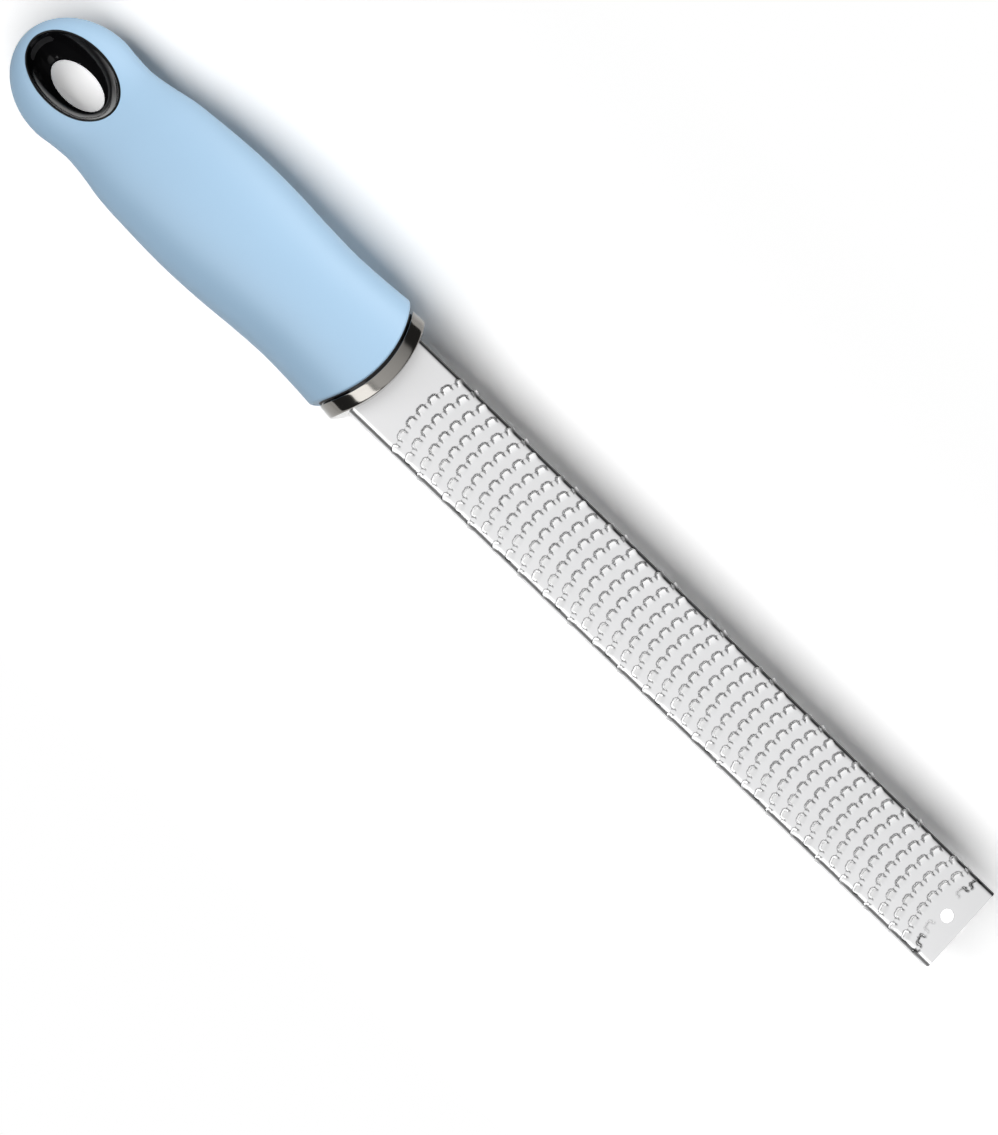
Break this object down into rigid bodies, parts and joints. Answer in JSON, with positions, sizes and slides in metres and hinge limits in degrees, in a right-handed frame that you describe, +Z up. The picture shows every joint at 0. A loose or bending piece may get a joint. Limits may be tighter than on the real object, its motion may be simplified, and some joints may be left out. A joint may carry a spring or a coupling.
{
  "type": "rasp zester",
  "caption": "Hand zester with a long bent-down etched rasp blade, an arched soft-grip handle with an oval hang eyelet, and a gloss nose collar.",
  "frame": {"origin": "on the surface that the zester rests on, under the middle of its overall length and on its centre plane", "axes": "+X from the hang end of the handle to the tip of the blade, +Y across the blade, +Z up out of the blade's toothed face"},
  "size_m": [0.33, 0.0374, 0.0304],
  "materials": {
    "blade_steel": "satin etched stainless",
    "pin_steel": "turned",
    "core_plastic": "moulded",
    "soft_grip": "soft matte",
    "collar_plastic": "polished, with a dark metallic coat",
    "eyelet_plastic": "polished"
  },
  "bodies": {
    "root": {"blade": "blade_steel", "tang_pins": "pin_steel", "core_upper": "core_plastic", "core_lower": "core_plastic", "grip_sleeve": "soft_grip", "front_collar": "collar_plastic", "eyelet_front": "eyelet_plastic", "eyelet_back": "eyelet_plastic"}
  },
  "joints": []
}
